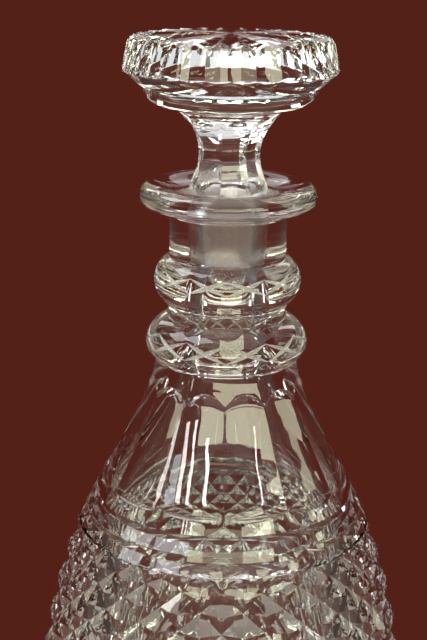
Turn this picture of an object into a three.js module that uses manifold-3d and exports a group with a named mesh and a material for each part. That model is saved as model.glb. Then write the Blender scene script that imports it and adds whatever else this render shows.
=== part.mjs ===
// A cut crystal decanter: a thick-walled glass bottle and its solid, ground-in mushroom stopper.
// Millimetres, +Z up, the standing face on z = 0 and the common axis of both pieces on x = y = 0.
// Steps round the axis are counted from -Y towards +X.
import * as THREE from "three";
import { mergeVertices } from "three/addons/utils/BufferGeometryUtils.js";
import Module from "manifold-3d";

// Bottle: heights above the standing face, and radii.
const LIP = { middle: 217.2, radius: 26.7, girth: 3.7, rise: 3.8, fall: 3.3 };
const LIP_START = -1.3;
const LIP_UNDERSIDE = [20.5, 213.1];
const LIP_DISH = [19, 219.4];
const DISH_FOOT_RADIUS = 13.6;
const NECK_RADIUS = 17.7;
const NECK_TOP = 211.8;
const WAIST_RADIUS = 17.9;
const WAIST_TOP = 183.4;
const SHOULDER_TOP = 166.9;

// Bands round the neck: an oval section, whose ends meet the glass above and below at a crease.
const UPPER_RING = {
  middle: 191.3,
  radius: 22.4,
  girth: 8,
  rise: 8.4,
  fall: 7.9,
  above: NECK_RADIUS,
  below: 18.6,
};
const LOWER_RING = {
  middle: 171.9,
  radius: 24.8,
  girth: 10.6,
  rise: 8.9,
  fall: 6.8,
  above: WAIST_RADIUS,
  below: 22,
};

const FLUTE_TOP = 161.4;
const FLUTE_BOTTOM = 127.5;
const PRISM_CRESTS = [124.2, 118.7, 113.3];
const FOOT_CRESTS = [38, 33.6];
const FOOT_FLUTE_TOP = 31;
const FOOT_FLUTE_BOTTOM = 4;
const STANDING_OUTER = 47.5;
const STANDING_INNER = 37;
const HEEL = [49.6, 1.4];
const BASE_HOLLOW = 2.4;
const BASE_HOLLOW_EDGE = [34, 1.8];

// The body's outline where nothing is cut away: height, radius.
const BODY_OUTLINE = [
  [4, 50.4],
  [14, 54.2],
  [26, 57.3],
  [38, 59.3],
  [52, 60],
  [68, 58.4],
  [84, 55.4],
  [100, 51],
  [113.3, 46],
  [124.2, 40.6],
  [136, 34.2],
  [146, 28.9],
  [152, 26.05],
  [156.5, 24],
  [158.5, 23.1],
  [160.5, 22.4],
  [162.5, 21.98],
  [164.7, 21.65],
  [SHOULDER_TOP, 21.5],
];

// The hollow inside, from below the bore down to the floor: height, radius.
const HOLLOW_OUTLINE = [
  [193, 7.9],
  [183, 8.4],
  [172, 9.6],
  [163, 12],
  [155, 15.8],
  [145, 21.9],
  [130, 31.4],
  [113, 39.8],
  [97, 45.4],
  [80, 49.9],
  [62, 53],
  [48, 53.8],
  [32, 52],
  [20, 46.6],
  [14.4, 37],
];
const FLOOR_HEIGHT = 12;
const FLOOR_EDGE = [20, 12.6];

// Cuts: how many go round, and how deep the wheel goes in.
const SHOULDER_FLUTES = 12;
const FLUTE_DEPTH = 0.9;
const FLUTE_ARCH = 2.4;
const DIAMONDS = 24;
const DIAMOND_DEPTH = 2.6;
const DIAMOND_ROWS = 11;
const DIAMOND_HEIGHT_TO_WIDTH = 0.92;
const PRISM_DEPTH = 1.6;
const FOOT_FLUTE_DEPTH = 1.2;
const RING_CUT_DEPTH = 0.9;

// Stopper: its ground plug sits in the bore with this clearance all round.
const SEAT_HEIGHT = 218;
const BORE_TOP_RADIUS = 8;
const BORE_BOTTOM_RADIUS = 7.1;
const BORE_TOP = 216.6;
const BORE_BOTTOM = 196.4;
const MOUTH = [9.2, 217.8];
const PLUG_CLEARANCE = 0.25;
const SHOULDER_CLEARANCE = 0.45;
const PLUG_CHAMFER = 0.5;
const SHANK_FACETS = 8;
const SHANK_TURN = -0.22;
const SHANK_TOP = 240.6;
const STOPPER_TOP = 265;
const RIM_RADIUS = 32;
const RIM_TOP_RADIUS = 30.3;
const RIM_BOTTOM = 254.6;
const RIM_TOP = 263.7;
const RIM_FLUTES = 28;
const RIM_FLUTE_DEPTH = 0.6;
const STAR_DEPTH = 1.1;
const STAR_RIDGE = [15, 264.5];

// The shank from the seat up: corner radius, height, and how far its eight sides are cut to flats.
const SHANK_OUTLINE = [
  [12.3, SEAT_HEIGHT + SHOULDER_CLEARANCE, 1],
  [11.7, 220.8, 1.1],
  [10.4, 224.2, 1.2],
  [9.5, 228, 1.2],
  [9.4, 231, 1.2],
  [10, 234, 1.1],
  [11.2, 236.8, 1],
  [12.5, 239, 0.6],
  [13.6, SHANK_TOP, 0],
];

// The collar that the head is turned with, from its foot up to the step below the rim: radius, height.
const COLLAR_OUTLINE = [
  [13.2, 240],
  [14.7, 241.8],
  [17.2, 243.3],
  [19.3, 243.7],
  [21.1, 244.2],
  [24, 245.9],
  [25.8, 248.4],
  [26.3, 249.95],
  [27.1, 250.2],
];

// Steps round the axis. Each is a whole number of every cut that its piece has.
const BOTTLE_STEPS = 2 * DIAMONDS;
const HEAD_STEPS = 2 * RIM_FLUTES;
const SHANK_STEPS = 4 * SHANK_FACETS;

// A piece turned about the axis. Each ring is a function from a step to that step's radius and
// height, listed up the outside and down the inside. Each four-sided facet folds along the diagonal
// whose ends lie nearer the axis, so that grooves stay unbroken.
function turned(rings, steps) {
  const start = rings.map((ring) => new THREE.Vector2(...ring(0)));
  const geometry = new THREE.LatheGeometry(start, steps);
  const places = geometry.getAttribute("position");
  const radii = [];
  for (let step = 0; step <= steps; step += 1) {
    const angle = (2 * Math.PI * (step % steps)) / steps;
    rings.forEach((ring, row) => {
      const [radius, height] = ring(step % steps);
      const vertex = step * rings.length + row;
      radii[vertex] = radius;
      places.setXYZ(vertex, radius * Math.sin(angle), -radius * Math.cos(angle), height);
    });
  }
  const triangles = [];
  for (let step = 0; step < steps; step += 1) {
    for (let row = 0; row < rings.length - 1; row += 1) {
      const a = step * rings.length + row;
      const b = a + rings.length;
      const c = b + 1;
      const d = a + 1;
      if (radii[a] + radii[c] < radii[b] + radii[d] - 1e-6) {
        triangles.push(a, b, c, a, c, d);
      } else {
        triangles.push(a, b, d, b, c, d);
      }
    }
  }
  geometry.setIndex(triangles);
  return geometry;
}

// A ring with nothing cut from it.
const plain = (radius, height) => () => [radius, height];

// A ring from which the wheel takes depth(step).
const cut = (radius, height, depth) => (step) => [radius - depth(step), height];

// A smooth curve through [height, radius] pairs, as a function from height to radius.
function smooth(pairs) {
  const rising = [...pairs].sort((a, b) => a[0] - b[0]);
  const curve = new THREE.CubicInterpolant(
    rising.map(([height]) => height),
    rising.map(([, radius]) => radius),
    1,
  );
  return (height) => curve.evaluate(height)[0];
}

const bodyRadius = smooth(BODY_OUTLINE);

// How far across a flute a step lies: 0 on its middle, 1 on the edge that it shares.
function acrossFlute(step, steps, flutes) {
  const place = ((step * flutes) / steps) % 1;
  return Math.abs(2 * place - 1);
}

// The depth of a hollow flute at a step and a distance in from its end.
function fluteDepth(step, steps, flutes, depth, inFromEnd) {
  const across = acrossFlute(step, steps, flutes);
  const reach = THREE.MathUtils.clamp((inFromEnd - FLUTE_ARCH * across * across) / FLUTE_ARCH, 0, 1);
  return depth * (1 - across * across) * reach;
}

// Rings for a row of flutes between two heights on the body, from the bottom up.
function flutedRings(bottom, top, count, flutes, depth) {
  const rings = [];
  for (let i = 0; i <= count; i += 1) {
    const height = bottom + ((top - bottom) * i) / count;
    const inFromEnd = Math.min(height - bottom, top - height);
    rings.push(
      cut(bodyRadius(height), height, (step) =>
        fluteDepth(step, BOTTLE_STEPS, flutes, depth, inFromEnd),
      ),
    );
  }
  return rings;
}

// Horizontal V grooves between crests, from the lowest crest up.
function prismRings(crests) {
  const rings = [];
  const rising = [...crests].reverse();
  rising.forEach((crest, i) => {
    rings.push(plain(bodyRadius(crest), crest));
    if (i < rising.length - 1) {
      const groove = (crest + rising[i + 1]) / 2;
      rings.push(plain(bodyRadius(groove) - PRISM_DEPTH, groove));
    }
  });
  return rings;
}

// Heights of the rows where the diamonds' grooves cross, from the lowest prism crest down. A diamond
// is as tall along the wall as it is wide.
function diamondHeights() {
  const heights = [PRISM_CRESTS.at(-1)];
  for (let row = 0; row < DIAMOND_ROWS; row += 1) {
    const height = heights.at(-1);
    const halfWidth = (Math.PI * bodyRadius(height)) / DIAMONDS;
    const slope = Math.atan(bodyRadius(height - 1) - bodyRadius(height));
    heights.push(height - halfWidth * DIAMOND_HEIGHT_TO_WIDTH * Math.cos(slope));
  }
  return heights;
}

// Rings of relief diamonds, from the bottom up: on each ring a groove crossing and a diamond's point
// follow each other, and the next ring swaps them.
function diamondRings() {
  return diamondHeights()
    .map((height, row) =>
      cut(bodyRadius(height), height, (step) => ((step + row) % 2 ? DIAMOND_DEPTH : 0)),
    )
    .slice(1)
    .reverse();
}

// A point on an oval section, as [radius, height], by the angle up from its widest place.
function onOval(oval, angle) {
  const side = angle < 0 ? oval.fall : oval.rise;
  return [oval.radius - oval.girth * (1 - Math.cos(angle)), oval.middle + side * Math.sin(angle)];
}

// Rings of a rounded band round the neck, from the bottom up, with a row of crossed cuts on it.
function neckRings(band, count) {
  const core = band.radius - band.girth;
  const low = -Math.acos((band.below - core) / band.girth);
  const high = Math.acos((band.above - core) / band.girth);
  const rings = [];
  for (let i = 0; i <= count; i += 1) {
    const [radius, height] = onOval(band, THREE.MathUtils.lerp(low, high, i / count));
    rings.push(cut(radius, height, (step) => crossedCut(step, i - Math.round(count / 2))));
  }
  return rings;
}

// The depth of the crossed cuts on a neck band: the arms meet in the middle row.
function crossedCut(step, rowFromMiddle) {
  const place = step % (BOTTLE_STEPS / SHOULDER_FLUTES);
  if (rowFromMiddle === 0 && place === 2) return RING_CUT_DEPTH;
  if (Math.abs(rowFromMiddle) === 1 && place % 2 === 1) return RING_CUT_DEPTH / 2;
  return 0;
}

// The rounded, everted lip, from its underside over the dished top and in to the bore.
function lipRings() {
  const rings = [plain(NECK_RADIUS, NECK_TOP), plain(...LIP_UNDERSIDE)];
  for (let i = 0; i <= 6; i += 1) {
    rings.push(plain(...onOval(LIP, THREE.MathUtils.lerp(LIP_START, Math.PI / 2, i / 6))));
  }
  rings.push(plain(...LIP_DISH), plain(DISH_FOOT_RADIUS, SEAT_HEIGHT));
  rings.push(plain(...MOUTH), plain(BORE_TOP_RADIUS, BORE_TOP));
  return rings;
}

// The ground bore and the hollow below it, down to the middle of the floor.
function hollowRings() {
  const rings = [plain(BORE_BOTTOM_RADIUS, BORE_BOTTOM)];
  HOLLOW_OUTLINE.forEach(([height, radius]) => rings.push(plain(radius, height)));
  rings.push(plain(...FLOOR_EDGE), plain(0, FLOOR_HEIGHT));
  return rings;
}

// The underside: a standing ring round a shallow hollow.
function baseRings() {
  return [
    plain(0, BASE_HOLLOW),
    plain(...BASE_HOLLOW_EDGE),
    plain(STANDING_INNER, 0),
    plain(STANDING_OUTER, 0),
    plain(...HEEL),
  ];
}

function bottleGeometry() {
  const rings = [
    ...baseRings(),
    ...flutedRings(FOOT_FLUTE_BOTTOM, FOOT_FLUTE_TOP, 6, DIAMONDS, FOOT_FLUTE_DEPTH),
    ...prismRings(FOOT_CRESTS).slice(0, -1),
    ...diamondRings(),
    ...prismRings(PRISM_CRESTS),
    ...flutedRings(FLUTE_BOTTOM, FLUTE_TOP, 11, SHOULDER_FLUTES, FLUTE_DEPTH),
    plain(bodyRadius(SHOULDER_TOP), SHOULDER_TOP),
    ...neckRings(LOWER_RING, 9),
    plain(WAIST_RADIUS, WAIST_TOP),
    ...neckRings(UPPER_RING, 9),
    ...lipRings(),
    ...hollowRings(),
  ];
  return turned(rings, BOTTLE_STEPS);
}

// The mushroom head: a turned collar, a bevel, a fluted rim that leans in, and star cuts on top.
// Odd steps are the flutes' middles and the ridges between star cuts, which end there in points.
function headGeometry() {
  const pointed = (onEdge, inMiddle) => (step) => (step % 2 ? inMiddle : onEdge);
  const [starRadius, starHeight] = STAR_RIDGE;
  const rings = [
    plain(0, COLLAR_OUTLINE[0][1]),
    ...COLLAR_OUTLINE.map(([radius, height]) => plain(radius, height)),
    pointed([RIM_RADIUS, RIM_BOTTOM], [RIM_RADIUS - RIM_FLUTE_DEPTH, RIM_BOTTOM - RIM_FLUTE_DEPTH]),
    pointed([RIM_TOP_RADIUS, RIM_TOP - STAR_DEPTH], [RIM_TOP_RADIUS - RIM_FLUTE_DEPTH, RIM_TOP]),
    pointed([starRadius, starHeight - STAR_DEPTH / 2], STAR_RIDGE),
    plain(0, STOPPER_TOP),
  ];
  return turned(rings, HEAD_STEPS);
}

// The faceted shank with the round ground plug below it.
function shankGeometry() {
  const facet = (2 * Math.PI) / SHANK_FACETS;
  const faceted = (radius, height, share) => (step) => {
    const fromMiddle = (acrossFlute(step, SHANK_STEPS, SHANK_FACETS) * facet) / 2;
    const flat = (radius * Math.cos(facet / 2)) / Math.cos(fromMiddle);
    return [THREE.MathUtils.lerp(radius, flat, share), height];
  };
  const plugTop = BORE_TOP_RADIUS - PLUG_CLEARANCE;
  const plugBottom = BORE_BOTTOM_RADIUS - PLUG_CLEARANCE;
  const rings = [
    plain(0, BORE_BOTTOM),
    plain(plugBottom - PLUG_CHAMFER, BORE_BOTTOM),
    plain(plugBottom, BORE_BOTTOM + PLUG_CHAMFER),
    plain(plugTop, BORE_TOP),
    plain(plugTop, SEAT_HEIGHT + SHOULDER_CLEARANCE),
    ...SHANK_OUTLINE.map(([radius, height, share]) => faceted(radius, height, share)),
    plain(0, SHANK_TOP),
  ];
  return turned(rings, SHANK_STEPS).rotateZ(SHANK_TURN);
}

const wasm = await Module();
wasm.setup();

// A closed geometry as a solid that can be joined to another.
function solid(geometry) {
  const bare = geometry.clone();
  bare.deleteAttribute("normal");
  bare.deleteAttribute("uv");
  const merged = mergeVertices(bare, 1e-4);
  return new wasm.Manifold(
    new wasm.Mesh({
      numProp: 3,
      vertProperties: new Float32Array(merged.getAttribute("position").array),
      triVerts: new Uint32Array(merged.index.array),
    }),
  );
}

// A joined solid as a geometry again.
function geometryOf(made) {
  const { vertProperties, triVerts } = made.getMesh();
  return new THREE.BufferGeometry()
    .setAttribute("position", new THREE.BufferAttribute(vertProperties, 3))
    .setIndex(new THREE.BufferAttribute(triVerts, 1));
}

// Clear lead crystal, drawn faceted.
function crystal(colour) {
  return new THREE.MeshStandardMaterial({
    color: colour,
    roughness: 0.03,
    metalness: 0,
    transparent: true,
    opacity: 0.4,
    flatShading: true,
  });
}

function piece(name, geometry, material) {
  const mesh = new THREE.Mesh(geometry, material);
  mesh.name = name;
  return mesh;
}

const decanter = new THREE.Group();
decanter.add(piece("bottle", bottleGeometry(), crystal(0xe9ece6)));
decanter.add(
  piece("stopper", geometryOf(solid(headGeometry()).add(solid(shankGeometry()))), crystal(0xeceeea)),
);

export default decanter;
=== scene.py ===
"""A cut crystal decanter: a thick glass bottle and its ground-in mushroom stopper, in metres.

Both pieces are built ring by ring in millimetres round the common axis, and scaled to metres at the end.
Angles run from -Y towards +X. Heights are above the standing face.
"""

import math

import bpy
import numpy as np
from mathutils import Matrix, Vector

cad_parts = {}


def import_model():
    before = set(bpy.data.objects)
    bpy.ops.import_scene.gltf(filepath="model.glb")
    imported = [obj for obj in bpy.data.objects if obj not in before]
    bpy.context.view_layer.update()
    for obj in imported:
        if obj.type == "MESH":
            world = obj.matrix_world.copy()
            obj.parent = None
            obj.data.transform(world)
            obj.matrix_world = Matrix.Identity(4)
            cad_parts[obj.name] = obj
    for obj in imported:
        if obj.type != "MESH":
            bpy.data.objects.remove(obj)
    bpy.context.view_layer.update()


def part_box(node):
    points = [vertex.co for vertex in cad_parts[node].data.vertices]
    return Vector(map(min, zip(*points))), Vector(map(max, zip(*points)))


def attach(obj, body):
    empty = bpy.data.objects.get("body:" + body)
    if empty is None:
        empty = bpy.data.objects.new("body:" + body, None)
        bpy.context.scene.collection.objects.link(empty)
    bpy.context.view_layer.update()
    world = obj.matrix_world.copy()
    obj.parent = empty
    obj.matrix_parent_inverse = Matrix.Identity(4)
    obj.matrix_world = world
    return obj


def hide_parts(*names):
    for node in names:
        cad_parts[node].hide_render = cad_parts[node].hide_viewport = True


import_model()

MM = 0.001
TURN = 2 * math.pi

# ---- Driving sizes, in millimetres -------------------------------------------------------------

BOTTLE_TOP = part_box("bottle")[1].z / MM
STOPPER_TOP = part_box("stopper")[1].z / MM
PLUG_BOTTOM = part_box("stopper")[0].z / MM

NECK_RADIUS = 17.7
NECK_TOP = 211.8
WAIST_RADIUS = 17.9
WAIST_TOP = 183.4
SHOULDER_TOP = 166.9
CREASE = 0.7

# Oval sections of the lip and of the bands round the neck. The lip's runs between two angles.
LIP = dict(middle=217.2, radius=26.7, girth=3.7, rise=3.8, fall=3.3)
LIP_ANGLES = (-1.3, 1.35)
LIP_UNDERSIDE_RADIUS = 20.5
LIP_UNDERSIDE_RISE = 1.3
UPPER_RING = dict(middle=191.3, radius=22.4, girth=8.0, rise=8.4, fall=7.9, above=17.7, below=18.6)
LOWER_RING = dict(middle=171.9, radius=24.8, girth=10.6, rise=8.9, fall=6.8, above=17.9, below=22.0)

FLUTE_TOP = 161.4
FLUTE_BOTTOM = 127.5
PRISM_CRESTS = (113.3, 118.7, 124.2)
FOOT_CRESTS = (33.6, 38.0)
FOOT_FLUTE_TOP = 31.0
FOOT_FLUTE_BOTTOM = 4.0
STANDING_OUTER = 47.5
STANDING_INNER = 37.0
HEEL_WIDTH = 2.9
HEEL_HEIGHT = 3.2
BASE_HOLLOW = 2.4
BASE_STAR_DEPTH = 1.3
FLOOR_HEIGHT = 12.0
FLOOR_FLAT_RADIUS = 8.0

# The dish in the lip's top, the seat at its foot, and the bore with its rounded mouth.
DISH_TOP_RADIUS = 23.0
DISH_FOOT_RADIUS = 13.6
DISH_DEPTH = 3.0
SEAT_HEIGHT = 218.0
SEAT_FALL = 0.2
MOUTH_ROUNDING = 1.2
BORE_TOP_RADIUS = 8.0
BORE_BOTTOM_RADIUS = 7.1
BORE_TOP = 216.6
CLEARANCE = 0.25
SHANK_CLEARANCE = 0.45
PLUG_CHAMFER = 0.5

# The body's outline where nothing is cut away: height, radius.
BODY_OUTLINE = (
    (4, 50.4), (14, 54.2), (26, 57.3), (38, 59.3), (52, 60), (68, 58.4), (84, 55.4), (100, 51),
    (113.3, 46), (124.2, 40.6), (136, 34.2), (146, 28.9), (152, 26.05), (156.5, 24.0),
    (158.5, 23.1), (160.5, 22.4), (162.5, 21.98), (164.7, 21.65), (SHOULDER_TOP, 21.5),
)

# The hollow inside, from the floor up to the foot of the bore: height, radius.
HOLLOW_OUTLINE = (
    (14.4, 37), (20, 46.6), (32, 52), (48, 53.8), (62, 53), (80, 49.9), (97, 45.4), (113, 39.8),
    (130, 31.4), (145, 21.9), (155, 15.8), (163, 12), (172, 9.6), (183, 8.4), (193, 7.9),
)

# Cuts: how many go round, and how deep the wheel went in.
DIAMONDS = 24
DIAMOND_DEPTH = 2.6
DIAMOND_ROWS = 11
DIAMOND_HEIGHT_TO_WIDTH = 0.92
PRISM_DEPTH = 1.6
CREST_HALF_FLAT = 0.12

# Flutes, from the bottom end to the top one: how far each end's arch bends from ridge to middle, and how
# far each end scoops in to the full depth, which is a share of the radius.
SHOULDER_FLUTES = 12
FLUTE_SHARE = 0.026
FLUTE_ARCHES = (1.6, 3.2)
FLUTE_SCOOPS = (4.5, 7.0)
FOOT_FLUTE_SHARE = 0.028
FOOT_ARCHES = (3.2, 3.2)
FOOT_SCOOPS = (4.0, 4.0)
PLAIN_BELOW_FLUTES = 0.6
PLAIN_ABOVE_FLUTES = 0.5

# The polish wears the ridges between flutes, over a strip narrower than an even step by this share.
RIDGE_LOSS = 0.014
RIDGE_DRAW = 0.65

# The glass above the shoulder flutes stands proud. Its edge is rounded over the first length on a ridge,
# and over both in the middle of a flute.
FLUTE_STEP = 0.6
STEP_ROUNDING = (2.2, 1.6)

# Crossed cuts on the neck bands: wedges that spread as they rise, each a little longer than its pitch.
CROSSES = 12
CROSS_DEPTH = 0.8
CROSS_OVERLAP = 1.04
CROSS_SECTIONS = 17
WEDGE_RISE = 1.0
WEDGE_SPREAD = 0.85

RIM_FLUTES = 28
RIM_RADIUS = 32.0
RIM_TOP_RADIUS = 30.3
RIM_BOTTOM = 254.6
RIM_FLUTE_DEPTH = 0.6
BEVEL_FOOT_RADIUS = 27.1
BEVEL_FOOT = 250.2
TOP_DOME = 1.1
STAR_DEPTH = 1.5
SHANK_FACETS = 8
SHANK_TURN = -0.22
SHANK_HOLLOW_SHARE = 0.02
SHANK_ARCH = 1.4
SHANK_FADE_START = 0.8

# Steps round the axis for each kind of surface.
FINE = 480
MEDIUM = 240
SMOOTH = 120
DIAMOND_STEPS = 2 * DIAMONDS
STOPPER_STEPS = 448

# The finishes, in the order of a piece's materials.
CLEAR, GROUND, CUT = 0, 1, 2
SHARP_EDGE = math.radians(16)

# The faceted shank from the seat up, as height and radius, and the turned collar above it, as radius and
# height.
SHANK_TOP = 240.6
SHANK_OUTLINE = (
    (218.45, 12.4), (220.8, 11.7), (224.2, 10.4), (228, 9.5), (231, 9.4), (234, 10.0),
    (236.8, 11.2), (239, 12.5), (SHANK_TOP, 13.6),
)
COLLAR_OUTLINE = (
    (13.9, 240.9), (14.7, 241.8), (15.8, 242.7), (17.2, 243.3), (17.6, 243.4), (19.3, 243.7),
    (21.1, 244.2), (22.7, 244.9), (24.0, 245.9), (25.1, 247.1), (25.8, 248.4), (26.2, 249.6),
    (26.3, 249.95), (26.7, 250.12),
)


# ---- Building closed surfaces ring by ring -----------------------------------------------------


def smooth_curve(pairs):
    """A C1 curve through (height, radius) pairs, as a function of height."""
    heights = np.array([p[0] for p in pairs], float)
    radii = np.array([p[1] for p in pairs], float)
    slopes = np.gradient(radii, heights)

    def radius(height):
        height = np.clip(height, heights[0], heights[-1])
        i = np.clip(np.searchsorted(heights, height, side="right") - 1, 0, len(heights) - 2)
        span = heights[i + 1] - heights[i]
        t = (height - heights[i]) / span
        return (
            (1 + 2 * t) * (1 - t) ** 2 * radii[i]
            + t * (1 - t) ** 2 * span * slopes[i]
            + t * t * (3 - 2 * t) * radii[i + 1]
            + t * t * (t - 1) * span * slopes[i + 1]
        )

    return radius


body_radius = smooth_curve(BODY_OUTLINE)
shank_radius = smooth_curve(SHANK_OUTLINE)
hollow_radius = smooth_curve(HOLLOW_OUTLINE)


def angles(steps):
    return TURN * np.arange(steps) / steps


def across(angle, count):
    """How far across one of count equal cuts an angle lies: 0 in its middle, 1 on its shared edge."""
    return np.abs(2 * ((angle * count / TURN) % 1) - 1)


class Shell:
    """A closed surface made from the bottom up outside and down inside, each ring joined to the last."""

    def __init__(self):
        self.points = []
        self.faces = []
        self.finishes = []
        self.last = None

    def pole(self, height, finish=CLEAR):
        """One point on the axis, which starts or ends the surface."""
        self.points.append((0.0, 0.0, height))
        index = len(self.points) - 1
        if self.last is not None:
            ring, _ = self.last
            for a, b in zip(ring, np.roll(ring, -1)):
                self.add((a, b, index), finish)
        self.last = (np.array([index]), None)

    def add(self, face, finish):
        self.faces.append(tuple(int(i) for i in face))
        self.finishes.append(finish)

    def ring(self, radius, height, steps, finish=CLEAR, turn=None):
        """A ring of points, with radius and height for every step or one for all."""
        angle = angles(steps) if turn is None else turn
        radius = np.broadcast_to(np.asarray(radius, float), angle.shape)
        height = np.broadcast_to(np.asarray(height, float), angle.shape)
        start = len(self.points)
        self.points.extend(zip(radius * np.sin(angle), -radius * np.cos(angle), height))
        ring = np.arange(start, start + steps)
        if self.last is not None:
            self.join(ring, radius, finish)
        self.last = (ring, radius)

    def join(self, ring, radius, finish):
        old, old_radius = self.last
        if len(old) == 1:
            for a, b in zip(ring, np.roll(ring, -1)):
                self.add((old[0], b, a), finish)
        elif len(old) == len(ring):
            self.strip(old, old_radius, ring, radius, finish)
        elif len(old) < len(ring):
            self.fan(old, ring, False, finish)
        else:
            self.fan(ring, old, True, finish)

    def strip(self, old, old_radius, ring, radius, finish):
        """Four-sided facets. A lattice ring folds each along the diagonal nearer the axis."""
        n = len(ring)
        for i in range(n):
            j = (i + 1) % n
            a, b, c, d = old[i], old[j], ring[j], ring[i]
            if n != DIAMOND_STEPS:
                self.add((a, b, c, d), finish)
            elif old_radius[i] + radius[j] < old_radius[j] + radius[i]:
                self.add((a, b, c), finish)
                self.add((a, c, d), finish)
            else:
                self.add((a, b, d), finish)
                self.add((b, c, d), finish)

    def fan(self, coarse, fine, fine_below, finish):
        """Joins rings of different steps, one of which is a whole multiple of the other."""
        ratio = len(fine) // len(coarse)
        half = ratio // 2
        for i, here in enumerate(coarse):
            after = coarse[(i + 1) % len(coarse)]
            run = [fine[(i * ratio + k) % len(fine)] for k in range(ratio + 1)]
            made = [(here, run[k + 1], run[k]) for k in range(half)]
            made.append((here, after, run[half]))
            made += [(after, run[k + 1], run[k]) for k in range(half, ratio)]
            for face in made:
                self.add(face[::-1] if fine_below else face, finish)

    def mesh(self, name):
        made = bpy.data.meshes.new(name)
        made.from_pydata([tuple(MM * c for c in p) for p in self.points], [], self.faces)
        made.polygons.foreach_set("material_index", self.finishes)
        made.update()
        made.validate()
        return made


# ---- Bottle: the outside, from the standing face up ---------------------------------------------


def base(shell):
    """The underside: a star cut in a shallow hollow, inside the flat standing ring."""
    star = across(angles(MEDIUM), DIAMONDS)
    star_radius = STANDING_INNER - 2
    shell.pole(BASE_HOLLOW + 0.2)
    for share in (0.04, 0.2, 0.4, 0.6, 0.8, 0.94):
        run_out = min(1, (1 - share) / 0.12)
        depth = BASE_STAR_DEPTH * min(share, 0.75) * (1 - star) * run_out
        shell.ring(share * star_radius, BASE_HOLLOW - 0.6 * share + depth, MEDIUM)
    for outward, height in ((-1, 1.3), (-0.3, 0.25), (0.3, 0)):
        shell.ring(STANDING_INNER + outward, height, MEDIUM)
    shell.ring(STANDING_OUTER, 0, MEDIUM)
    for share in np.linspace(0.3, 1, 4):
        up = share * math.pi / 2
        shell.ring(STANDING_OUTER + HEEL_WIDTH * math.sin(up), HEEL_HEIGHT * (1 - math.cos(up)), MEDIUM)


def soft_ridge_angles(steps, count):
    """Even steps, but for those beside the ridges between cuts, which draw near and leave them narrow."""
    turn = angles(steps)
    place = np.arange(steps) % (steps // count)
    draw = RIDGE_DRAW * TURN / steps
    return turn - draw * (place == 1) + draw * (place == steps // count - 1)


def closer_at_ends(count):
    """Shares from 0 to 1, part even and part drawn towards both ends, where a flute bends most."""
    even = np.linspace(0, 1, count)
    drawn = (1 - np.cos(np.linspace(0, math.pi, count))) / 2
    return 0.35 * even + 0.65 * drawn


def flutes(shell, bottom, top, rows, count, share, arches, scoops, proud=0.0):
    """A row of hollow flutes with arched ends. Their rings bend with the arches, so each edge is crisp.

    The glass above the flutes may stand proud of them, by a step that is left rounded.
    """
    turn = soft_ridge_angles(FINE, count)
    x = across(turn, count)
    hollow = 1 - x * x
    ridge = RIDGE_LOSS * (x > 1 - 1e-6)
    low, high = bottom + arches[0] * x * x, top - arches[1] * x * x
    shell.ring(body_radius(bottom - PLAIN_BELOW_FLUTES), bottom - PLAIN_BELOW_FLUTES, FINE)
    for place in closer_at_ends(rows):
        height = low + (high - low) * place
        inward = np.clip(np.minimum((height - low) / scoops[0], (high - height) / scoops[1]), 0, 1)
        ramp = np.sqrt(np.clip(1 - (1 - inward) ** 2, 0, 1))
        rounding = STEP_ROUNDING[0] + STEP_ROUNDING[1] * hollow
        blank = body_radius(height) + proud * (1 - np.clip((high - height) / rounding, 0, 1)) ** 2
        shell.ring(blank * (1 - share * hollow * ramp) - ridge, height, FINE, turn=turn)
    shell.ring(body_radius(top + PLAIN_ABOVE_FLUTES) + proud, top + PLAIN_ABOVE_FLUTES, FINE)


def prisms(shell, crests):
    """Horizontal V grooves between crests, with a narrow flat left on each crest."""
    for i, crest in enumerate(crests):
        for height in (crest - CREST_HALF_FLAT, crest + CREST_HALF_FLAT):
            shell.ring(body_radius(height), height, FINE)
        if i + 1 < len(crests):
            groove = (crest + crests[i + 1]) / 2
            shell.ring(body_radius(groove) - PRISM_DEPTH, groove, FINE)


def diamond_heights():
    """Where the grooves of the relief diamonds cross, from the lowest prism crest down."""
    heights = [PRISM_CRESTS[0]]
    for _ in range(DIAMOND_ROWS):
        height = heights[-1]
        half_width = math.pi * body_radius(height) / DIAMONDS
        slope = math.atan(body_radius(height - 1) - body_radius(height))
        heights.append(height - half_width * DIAMOND_HEIGHT_TO_WIDTH * math.cos(slope))
    return heights


def diamonds(shell):
    """Relief diamonds: on each ring a groove crossing and a point follow each other, then swap."""
    step = np.arange(DIAMOND_STEPS)
    for row, height in reversed(list(enumerate(diamond_heights()))):
        depth = DIAMOND_DEPTH * ((step + row) % 2)
        shell.ring(body_radius(height) - depth, height, DIAMOND_STEPS)


def plain_band(shell):
    """The uncut glass above the shoulder flutes, which stops standing proud as it nears the neck."""
    foot, top = FLUTE_TOP + PLAIN_ABOVE_FLUTES, SHOULDER_TOP - CREASE
    for height in np.linspace(FLUTE_TOP + 1, top, 8):
        fade = (top - height) / (top - foot)
        shell.ring(body_radius(height) + FLUTE_STEP * fade, height, MEDIUM)


def on_oval(oval, angle):
    """Radius and height on an oval section, by the angle up from its widest place."""
    side = oval["fall"] if angle < 0 else oval["rise"]
    return oval["radius"] - oval["girth"] * (1 - math.cos(angle)), oval["middle"] + side * math.sin(angle)


def crease(shell, start, corner, end):
    """A narrow hollow curve between two surfaces that would meet at a corner."""
    for t in np.linspace(0, 1, 6):
        place = [(1 - t) ** 2 * a + 2 * t * (1 - t) * b + t * t * c for a, b, c in zip(start, corner, end)]
        shell.ring(*place, MEDIUM)


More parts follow.
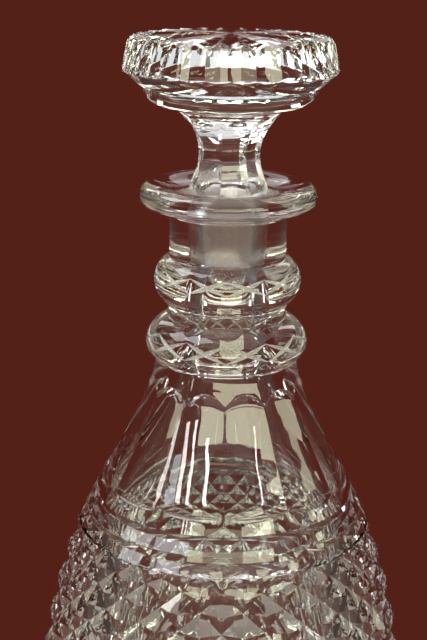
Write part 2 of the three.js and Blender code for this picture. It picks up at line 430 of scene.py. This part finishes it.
def neck_ring(shell, band):
    """A rounded band round the neck, which meets the glass above and below at a narrow crease."""
    core = band["radius"] - band["girth"]
    low = -math.acos((band["below"] - core) / band["girth"])
    high = math.acos((band["above"] - core) / band["girth"])
    inset = CREASE / band["girth"]
    corner = on_oval(band, low)
    crease(shell, (corner[0], corner[1] - CREASE), corner, on_oval(band, low + inset))
    for angle in np.linspace(low + inset, high - inset, 34)[1:-1]:
        shell.ring(*on_oval(band, angle), MEDIUM)
    corner = on_oval(band, high)
    crease(shell, on_oval(band, high - inset), corner, (corner[0], corner[1] + CREASE))


def lip(shell):
    """The rounded, everted lip and the dished top that leads in to the bore."""
    under_lip = (NECK_RADIUS + 0.8, NECK_TOP + 0.5)
    crease(shell, (NECK_RADIUS, NECK_TOP - 0.5), (NECK_RADIUS, NECK_TOP + 0.1), under_lip)
    shell.ring(LIP_UNDERSIDE_RADIUS, NECK_TOP + LIP_UNDERSIDE_RISE, MEDIUM)
    for angle in np.linspace(*LIP_ANGLES, 30):
        shell.ring(*on_oval(LIP, angle), MEDIUM)
    for t in np.linspace(0.1, 1, 10):
        ease = t * t * (3 - 2 * t)
        radius = DISH_TOP_RADIUS + (DISH_FOOT_RADIUS - DISH_TOP_RADIUS) * t
        shell.ring(radius, BOTTLE_TOP - DISH_DEPTH * ease, MEDIUM)
    shell.ring(BORE_TOP_RADIUS + MOUTH_ROUNDING, SEAT_HEIGHT - SEAT_FALL, MEDIUM, GROUND)
    for angle in np.linspace(0.2, 1.35, 5):
        radius = BORE_TOP_RADIUS + MOUTH_ROUNDING * (1 - math.sin(angle))
        shell.ring(radius, BORE_TOP + MOUTH_ROUNDING * math.cos(angle), MEDIUM)


def inside(shell):
    """The bore, ground as far down as the plug, then the hollow down to its slightly dished floor."""
    shell.ring(BORE_TOP_RADIUS, BORE_TOP, SMOOTH)
    for t in np.linspace(0.1, 1, 10):
        radius = BORE_TOP_RADIUS + (BORE_BOTTOM_RADIUS - BORE_TOP_RADIUS) * t
        shell.ring(radius, BORE_TOP + (PLUG_BOTTOM - BORE_TOP) * t, SMOOTH, GROUND)
    shell.ring(BORE_BOTTOM_RADIUS + 0.45, PLUG_BOTTOM - 0.9, SMOOTH)
    edge, edge_radius = HOLLOW_OUTLINE[0]
    for height in np.linspace(HOLLOW_OUTLINE[-1][0], edge, 72):
        shell.ring(hollow_radius(height), height, SMOOTH)
    for t in np.linspace(0.1, 1, 8):
        radius = edge_radius * (1 - t) + FLOOR_FLAT_RADIUS * t
        shell.ring(radius, FLOOR_HEIGHT + (edge - FLOOR_HEIGHT) * (1 - t) ** 2, SMOOTH)
    shell.pole(FLOOR_HEIGHT)


def bottle_blank():
    """The whole bottle, but for the crossed cuts on its neck bands."""
    shell = Shell()
    base(shell)
    flutes(
        shell,
        bottom=FOOT_FLUTE_BOTTOM,
        top=FOOT_FLUTE_TOP,
        rows=22,
        count=DIAMONDS,
        share=FOOT_FLUTE_SHARE,
        arches=FOOT_ARCHES,
        scoops=FOOT_SCOOPS,
    )
    prisms(shell, FOOT_CRESTS)
    diamonds(shell)
    prisms(shell, PRISM_CRESTS)
    flutes(
        shell,
        bottom=FLUTE_BOTTOM,
        top=FLUTE_TOP,
        rows=56,
        count=SHOULDER_FLUTES,
        share=FLUTE_SHARE,
        arches=FLUTE_ARCHES,
        scoops=FLUTE_SCOOPS,
        proud=FLUTE_STEP,
    )
    plain_band(shell)
    neck_ring(shell, LOWER_RING)
    shell.ring(WAIST_RADIUS, WAIST_TOP, MEDIUM)
    neck_ring(shell, UPPER_RING)
    lip(shell)
    inside(shell)
    return shell.mesh("bottle_glass")


# ---- Crossed cuts on the neck bands --------------------------------------------------------------


def ring_point(band, turn, up):
    """A point on a neck band and its outward normal, by angle round the axis and up the band."""
    radius, height = on_oval(band, up)
    side = band["fall"] if up < 0 else band["rise"]
    out = Vector((math.sin(turn), -math.cos(turn), 0))
    point = out * radius + Vector((0, 0, height))
    normal = (out * side * math.cos(up) + Vector((0, 0, band["girth"] * math.sin(up)))).normalized()
    return point, normal


def crossed_cuts(band, middle_up, reach_up, lean):
    """Wedges that take out one arm of every cross on a band, as points and faces.

    An arm runs along the band and climbs or falls with the lean, by an angle up the band's oval section.
    """
    points, faces = [], []
    last = CROSS_SECTIONS - 1
    pitch = TURN / CROSSES
    along = np.linspace(-1, 1, CROSS_SECTIONS)
    for k in range(CROSSES):
        start = len(points)
        path = []
        for s in along:
            turn = (k + 0.5) * pitch + 0.5 * pitch * s * CROSS_OVERLAP
            path.append(ring_point(band, turn, middle_up + lean * reach_up * s))
        for i, s in enumerate(along):
            point, normal = path[i]
            ahead = (path[min(i + 1, last)][0] - path[max(i - 1, 0)][0]).normalized()
            sideways = normal.cross(ahead)
            depth = CROSS_DEPTH * (1 - s * s)
            width = (depth + WEDGE_RISE) * WEDGE_SPREAD
            points += [
                point - normal * depth,
                point + normal * WEDGE_RISE + sideways * width,
                point + normal * WEDGE_RISE - sideways * width,
            ]
        for i in range(last):
            a = start + 3 * i
            for p, q in ((0, 1), (1, 2), (2, 0)):
                faces.append((a + p, a + q, a + 3 + q, a + 3 + p))
        faces.append((start, start + 2, start + 1))
        end = start + 3 * last
        faces.append((end, end + 1, end + 2))
    return points, faces


def cut_away(piece, tools):
    """Takes a set of closed wedges out of a piece."""
    points, faces = [], []
    for more_points, more_faces in tools:
        faces += [tuple(len(points) + i for i in f) for f in more_faces]
        points += [p * MM for p in more_points]
    mesh = bpy.data.meshes.new("wedges")
    mesh.from_pydata(points, [], faces)
    mesh.polygons.foreach_set("material_index", [CUT] * len(faces))
    mesh.update()
    wedges = bpy.data.objects.new("wedges", mesh)
    bpy.context.scene.collection.objects.link(wedges)
    cutter = piece.modifiers.new("cut", "BOOLEAN")
    cutter.object = wedges
    cutter.operation = "DIFFERENCE"
    cutter.solver = "MANIFOLD"
    bpy.context.view_layer.update()
    cut = bpy.data.meshes.new_from_object(piece.evaluated_get(bpy.context.evaluated_depsgraph_get()))
    piece.modifiers.clear()
    old = piece.data
    piece.data = cut
    cut.name = old.name
    bpy.data.objects.remove(wedges)


# ---- Stopper -------------------------------------------------------------------------------------


def head(shell):
    """The mushroom head: collar, step, bevel, hollow-fluted rim that leans in, and star-cut top."""
    x = across(angles(STOPPER_STEPS), RIM_FLUTES)
    hollow = RIM_FLUTE_DEPTH * (1 - x * x)
    for radius, height in COLLAR_OUTLINE:
        shell.ring(radius, height, STOPPER_STEPS)
    flare = (RIM_RADIUS - BEVEL_FOOT_RADIUS) / (RIM_BOTTOM - BEVEL_FOOT)
    lean = (RIM_RADIUS - RIM_TOP_RADIUS) / (star_height(RIM_TOP_RADIUS, 1.0) - RIM_BOTTOM)
    inset = RIM_RADIUS - hollow - BEVEL_FOOT_RADIUS
    low = (inset + lean * RIM_BOTTOM + flare * BEVEL_FOOT) / (flare + lean)
    for t in np.linspace(0, 1, 9):
        height = BEVEL_FOOT + (low - BEVEL_FOOT) * t
        shell.ring(BEVEL_FOOT_RADIUS + (height - BEVEL_FOOT) * flare, height, STOPPER_STEPS)
    high = star_height(RIM_TOP_RADIUS - hollow, x)
    for t in np.linspace(0.06, 1, 16):
        height = low + (high - low) * t
        shell.ring(RIM_RADIUS - hollow - lean * (height - RIM_BOTTOM), height, STOPPER_STEPS)
    for t in np.linspace(0.08, 0.97, 16):
        radius = (RIM_RADIUS - hollow - lean * (high - RIM_BOTTOM)) * (1 - t)
        shell.ring(radius, star_height(radius, x), STOPPER_STEPS)
    shell.pole(STOPPER_TOP)


def star_height(radius, x):
    """The top's height: a shallow dome with a V groove running out to each edge between rim flutes."""
    share = radius / RIM_RADIUS
    return STOPPER_TOP - TOP_DOME * share ** 2 - STAR_DEPTH * share * x


def shank(shell):
    """The round ground plug and the faceted shank above it, whose facets fade out into the collar."""
    x = across(angles(STOPPER_STEPS) - SHANK_TURN, SHANK_FACETS)
    half = math.pi / SHANK_FACETS
    plug_top = BORE_TOP_RADIUS - CLEARANCE
    plug_bottom = BORE_BOTTOM_RADIUS - CLEARANCE
    above_chamfer = PLUG_BOTTOM + PLUG_CHAMFER
    seat = SEAT_HEIGHT + SHANK_CLEARANCE
    shell.pole(PLUG_BOTTOM)
    shell.ring(plug_bottom * 0.6, PLUG_BOTTOM, STOPPER_STEPS)
    shell.ring(plug_bottom - PLUG_CHAMFER, PLUG_BOTTOM, STOPPER_STEPS)
    shell.ring(plug_bottom, above_chamfer, STOPPER_STEPS)
    for t in np.linspace(0.1, 1, 10):
        radius = plug_bottom + (plug_top - plug_bottom) * t
        shell.ring(radius, above_chamfer + (BORE_TOP - above_chamfer) * t, STOPPER_STEPS, GROUND)
    shell.ring(plug_top, seat - 0.5, STOPPER_STEPS)
    shell.ring(plug_top + 0.6, seat, STOPPER_STEPS)
    flat = math.cos(half) / np.cos(x * half) * (1 - SHANK_HOLLOW_SHARE * (1 - x * x))
    top = SHANK_TOP - SHANK_ARCH * x * x
    shell.ring(shank_radius(seat) * flat, seat, STOPPER_STEPS, GROUND)
    for t in np.linspace(0, 1, 44)[1:]:
        height = seat + (top - seat) * t
        meet = np.clip((t - SHANK_FADE_START) / (1 - SHANK_FADE_START), 0, 1) ** 2
        shell.ring(shank_radius(height) * (meet + (1 - meet) * flat), height, STOPPER_STEPS)


def stopper_mesh():
    shell = Shell()
    shank(shell)
    head(shell)
    return shell.mesh("stopper_glass")


# ---- Materials -----------------------------------------------------------------------------------

CRYSTAL_INDEX = 1.55


def node(tree, kind, **values):
    """A shader node with its input sockets, or its own settings, set by name."""
    made = tree.nodes.new(kind)
    for name, value in values.items():
        if hasattr(made, name):
            setattr(made, name, value)
        else:
            made.inputs[name.replace("_", " ")].default_value = value
    return made


def crystal(name, clarity, tint, rough_low, rough_high, wave_scale, wave_depth, grain_scale, grain_depth):
    """Lead crystal: slight streaks of colour, waves in the surface and the fine marks of its finish."""
    made = bpy.data.materials.new(name)
    made.use_nodes = True
    tree = made.node_tree
    tree.nodes.clear()
    output = node(tree, "ShaderNodeOutputMaterial")
    glass = node(tree, "ShaderNodeBsdfPrincipled")
    glass.inputs["Transmission Weight"].default_value = clarity
    glass.inputs["IOR"].default_value = CRYSTAL_INDEX
    tree.links.new(glass.outputs[0], output.inputs["Surface"])

    place = node(tree, "ShaderNodeTexCoord")
    streaks = node(tree, "ShaderNodeTexNoise", Scale=18.0, Detail=2.0)
    tree.links.new(place.outputs["Object"], streaks.inputs["Vector"])
    colour = node(tree, "ShaderNodeValToRGB")
    colour.color_ramp.elements[0].color = (*tint[0], 1)
    colour.color_ramp.elements[1].color = (*tint[1], 1)
    tree.links.new(streaks.outputs["Fac"], colour.inputs["Fac"])
    tree.links.new(colour.outputs["Color"], glass.inputs["Base Color"])

    marks = node(tree, "ShaderNodeTexNoise", Scale=grain_scale, Detail=3.0)
    tree.links.new(place.outputs["Object"], marks.inputs["Vector"])
    rough = node(tree, "ShaderNodeMapRange")
    rough.inputs["From Min"].default_value = 0.4
    rough.inputs["From Max"].default_value = 0.75
    rough.inputs["To Min"].default_value = rough_low
    rough.inputs["To Max"].default_value = rough_high
    tree.links.new(marks.outputs["Fac"], rough.inputs["Value"])
    tree.links.new(rough.outputs["Result"], glass.inputs["Roughness"])

    waves = node(tree, "ShaderNodeTexNoise", Scale=wave_scale, Detail=1.0)
    tree.links.new(place.outputs["Object"], waves.inputs["Vector"])
    wave_bump = node(tree, "ShaderNodeBump", Strength=1.0, Distance=wave_depth)
    tree.links.new(waves.outputs["Fac"], wave_bump.inputs["Height"])
    grain_bump = node(tree, "ShaderNodeBump", Strength=1.0, Distance=grain_depth)
    tree.links.new(marks.outputs["Fac"], grain_bump.inputs["Height"])
    tree.links.new(wave_bump.outputs["Normal"], grain_bump.inputs["Normal"])
    tree.links.new(grain_bump.outputs["Normal"], glass.inputs["Normal"])
    return made


def polished(name):
    """Clear glass with a bright polish."""
    return crystal(
        name,
        clarity=1.0,
        tint=((0.965, 0.975, 0.955), (0.99, 0.995, 0.985)),
        rough_low=0.0,
        rough_high=0.035,
        wave_scale=70.0,
        wave_depth=0.00006,
        grain_scale=900.0,
        grain_depth=0.0000008,
    )


def ground(name):
    """The frosted grinding of the plug, the bore and the seat. Its pinkish tint is painted light: it stands
    in for the dark red surroundings seen through the frosted glass.
    """
    return crystal(
        name,
        clarity=0.96,
        # Painted light: the pink in these colours stands in for the dark red surroundings seen through the
        # frosting.
        tint=((0.86, 0.80, 0.81), (0.97, 0.91, 0.92)),
        rough_low=0.25,
        rough_high=0.45,
        wave_scale=160.0,
        wave_depth=0.00004,
        grain_scale=2600.0,
        grain_depth=0.00002,
    )


def wheel_cut(name):
    """The little crosses on the neck, whose polish is not quite finished."""
    return crystal(
        name,
        clarity=0.6,
        tint=((0.93, 0.94, 0.93), (0.98, 0.98, 0.97)),
        rough_low=0.15,
        rough_high=0.35,
        wave_scale=160.0,
        wave_depth=0.00003,
        grain_scale=1800.0,
        grain_depth=0.000006,
    )


def plain_material(name, low, high, roughness):
    """A matt surface with faint mottling, for the floor."""
    made = bpy.data.materials.new(name)
    made.use_nodes = True
    tree = made.node_tree
    shader = tree.nodes["Principled BSDF"]
    shader.inputs["Roughness"].default_value = roughness
    place = node(tree, "ShaderNodeTexCoord")
    mottle = node(tree, "ShaderNodeTexNoise", Scale=9.0, Detail=4.0)
    tree.links.new(place.outputs["Object"], mottle.inputs["Vector"])
    colour = node(tree, "ShaderNodeValToRGB")
    colour.color_ramp.elements[0].color = (*low, 1)
    colour.color_ramp.elements[1].color = (*high, 1)
    tree.links.new(mottle.outputs["Fac"], colour.inputs["Fac"])
    tree.links.new(colour.outputs["Color"], shader.inputs["Base Color"])
    return made


# ---- Pieces --------------------------------------------------------------------------------------


def shade(piece):
    """Smooth shading, with sharp cut edges."""
    piece.data.shade_smooth()
    piece.data.set_sharp_from_angle(angle=SHARP_EDGE)


def add_piece(name, mesh, materials):
    piece = bpy.data.objects.new(name, mesh)
    bpy.context.scene.collection.objects.link(piece)
    for material in materials:
        piece.data.materials.append(material)
    return piece


bottle = add_piece(
    "bottle_glass",
    bottle_blank(),
    [polished("bottle_polished"), ground("bottle_ground_painted_tint"), wheel_cut("bottle_cuts")],
)
for lean in (1, -1):
    cut_away(
        bottle,
        [
            crossed_cuts(UPPER_RING, 0.3, 0.27, lean),
            crossed_cuts(LOWER_RING, 0.28, 0.31, lean),
        ],
    )
shade(bottle)
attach(bottle, "bottle_body")
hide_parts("bottle")

stopper = add_piece(
    "stopper_glass",
    stopper_mesh(),
    [polished("stopper_polished"), ground("stopper_ground_painted_tint")],
)
shade(stopper)
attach(stopper, "stopper_body")
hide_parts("stopper")


# ---- Stage, light and camera ---------------------------------------------------------------------

SHOULDER_PLACE = Vector((0, 0, 0.16))
WINDOW_DISTANCE = 1.35

STRIP_WHITE = (1.0, 0.98, 0.92)
CREAM = (0.97, 1.0, 0.72)
PALE_BLUE = (0.80, 0.92, 1.0)
SKY = (0.90, 0.96, 1.0)
CEILING = (0.94, 0.98, 1.0)
COOL_WHITE = (0.97, 0.98, 1.0)
GREENISH_WHITE = (0.97, 1.0, 0.95)
WARM_WHITE = (1.0, 0.98, 0.94)


def stage_floor():
    """A plain pale table top, whose back edge is a little behind the decanter."""
    half_width, front, back, thick, gap = 0.62, -0.72, 0.075, 0.03, 0.00005
    corners = [(-half_width, front), (half_width, front), (half_width, back), (-half_width, back)]
    points = [(x, y, z) for z in (-thick, -gap) for x, y in corners]
    faces = [(3, 2, 1, 0), (4, 5, 6, 7)]
    faces += [(i, (i + 1) % 4, 4 + (i + 1) % 4, 4 + i) for i in range(4)]
    mesh = bpy.data.meshes.new("table_top")
    mesh.from_pydata(points, [], faces)
    matt = plain_material("table_matt", low=(0.36, 0.285, 0.25), high=(0.42, 0.34, 0.30), roughness=0.7)
    floor = add_piece("table_top", mesh, [matt])


def softbox(name, azimuth, elevation, distance, size, radiance, colour):
    """A rectangular soft light facing the decanter, placed by its direction from the shoulder."""
    turn, up = math.radians(azimuth), math.radians(elevation)
    out = Vector((math.sin(turn) * math.cos(up), -math.cos(turn) * math.cos(up), math.sin(up)))
    light = bpy.data.lights.new(name, "AREA")
    light.shape = "RECTANGLE"
    light.size, light.size_y = size
    light.energy = radiance * math.pi * size[0] * size[1]
    light.color = colour
    lamp = bpy.data.objects.new(name, light)
    lamp.location = SHOULDER_PLACE + out * distance
    lamp.rotation_euler = (-out).to_track_quat("-Z", "Y").to_euler()
    bpy.context.scene.collection.objects.link(lamp)


def window(name, azimuths, elevations, radiance, colour):
    """A soft light that spans these directions, in degrees, seen from the shoulder."""
    width, height = (
        2 * WINDOW_DISTANCE * math.tan(math.radians(span[1] - span[0]) / 2)
        for span in (azimuths, elevations)
    )
    middle = sum(elevations) / 2
    size = (width * math.cos(math.radians(middle)), height)
    softbox(name, sum(azimuths) / 2, middle, WINDOW_DISTANCE, size, radiance, colour)


def lights():
    """A warm window in front with narrow strips above it, small windows at the sides, and soft light.

    Each strip has its azimuth, its lowest and highest elevation and its width in degrees, then its radiance.
    The soft light comes from behind, from the upper left and from overhead.
    """
    strips = (
        (-83.6, 15, 30, 1.9, 11),
        (-36.4, 24.5, 31, 1.3, 17),
        (-33.5, 24.5, 31.5, 0.9, 20),
        (-28.9, 25.6, 31.5, 0.9, 26),
        (34.0, 25.0, 31, 0.5, 22),
    )
    for i, (azimuth, low, high, wide, radiance) in enumerate(strips):
        span = (azimuth - wide / 2, azimuth + wide / 2)
        window(f"strip_{i}", span, (low, high), radiance, STRIP_WHITE)
    window("pane_left", (-32, -26), (19, 26.2), 8.0, CREAM)
    window("pane_middle_left", (-26, -18), (19, 26.4), 8.0, CREAM)
    window("pane_middle", (-18, 18), (19, 26.4), 3.0, CREAM)
    window("pane_middle_right", (18, 27), (19, 26.4), 8.0, CREAM)
    window("pane_right", (27, 36), (19, 26.3), 8.0, CREAM)
    window("pane_far_right", (36, 46), (19, 28.0), 8.0, CREAM)
    window("pane_low", (-19, 50), (8, 17), 7.6, CREAM)
    window("side_left", (-87, -80.5), (11.5, 15.0), 4.6, CREAM)
    window("side_right", (87.5, 95), (8, 13.6), 5.0, CREAM)
    window("side_right_top", (89.5, 92.5), (13.6, 15.4), 4.0, CREAM)
    window("blue_left", (-43, -37.4), (27.3, 31.5), 6.0, PALE_BLUE)
    softbox("back_left", -150, 30, 1.2, (0.15, 0.5), 3.0, GREENISH_WHITE)
    softbox("back_right", 145, 30, 1.2, (0.15, 0.5), 3.0, WARM_WHITE)
    softbox("back_top", 180, 38, 1.2, (0.8, 0.35), 1.2, COOL_WHITE)
    softbox("sky_left", -76, 63, 1.1, (0.5, 0.42), 5.0, SKY)
    softbox("sky_far_left", -103, 46, 1.1, (0.5, 0.35), 5.0, SKY)
    softbox("overhead", 0, 88, 1.0, (1.6, 1.6), 0.8, CEILING)


def world(front, behind, blend):
    """A dim studio, nearly neutral in front, and plain dark red behind the decanter.

    The blend is between which values of a direction's +Y part the one passes into the other.
    """
    made = bpy.data.worlds.new("studio")
    made.use_nodes = True
    tree = made.node_tree
    place = node(tree, "ShaderNodeTexCoord")
    parts = node(tree, "ShaderNodeSeparateXYZ")
    tree.links.new(place.outputs["Generated"], parts.inputs[0])
    share = node(tree, "ShaderNodeMapRange")
    share.interpolation_type = "SMOOTHSTEP"
    share.inputs["From Min"].default_value = blend[0]
    share.inputs["From Max"].default_value = blend[1]
    tree.links.new(parts.outputs["Y"], share.inputs["Value"])
    colour = node(tree, "ShaderNodeValToRGB")
    colour.color_ramp.elements[0].color = (*front, 1)
    colour.color_ramp.elements[1].color = (*behind, 1)
    tree.links.new(share.outputs["Result"], colour.inputs["Fac"])
    tree.links.new(colour.outputs["Color"], tree.nodes["Background"].inputs["Color"])
    bpy.context.scene.world = made


def camera():
    """The viewpoint: in front, a little above the stopper, looking down on the shoulder."""
    distance, height = 0.4134, 0.3012
    pitch, yaw, roll = math.radians(16.6), math.radians(-0.56), math.radians(0.78)
    forward = Vector(
        (math.sin(yaw) * math.cos(pitch), math.cos(yaw) * math.cos(pitch), -math.sin(pitch))
    )
    level = Vector((math.cos(yaw), -math.sin(yaw), 0))
    upright = level.cross(forward)
    right = math.cos(roll) * level + math.sin(roll) * upright
    up = -math.sin(roll) * level + math.cos(roll) * upright
    data = bpy.data.cameras.new("camera")
    data.lens = 78.75
    data.sensor_width = 36
    data.clip_start = 0.01
    eye = bpy.data.objects.new("camera", data)
    eye.matrix_world = Matrix.Translation((0, -distance, height)) @ Matrix(
        (right, up, -forward)
    ).transposed().to_4x4()
    bpy.context.scene.collection.objects.link(eye)
    bpy.context.scene.camera = eye


stage_floor()
lights()
world(front=(0.062, 0.044, 0.038), behind=(0.088, 0.0150, 0.0093), blend=(0.25, 0.7))
camera()

bpy.context.scene.view_settings.view_transform = "Standard"

# Light crosses many walls of glass and turns back inside them, so its paths may be long.
paths = bpy.context.scene.cycles
paths.max_bounces = 28
paths.transmission_bounces = 26
paths.glossy_bounces = 8
paths.transparent_max_bounces = 12
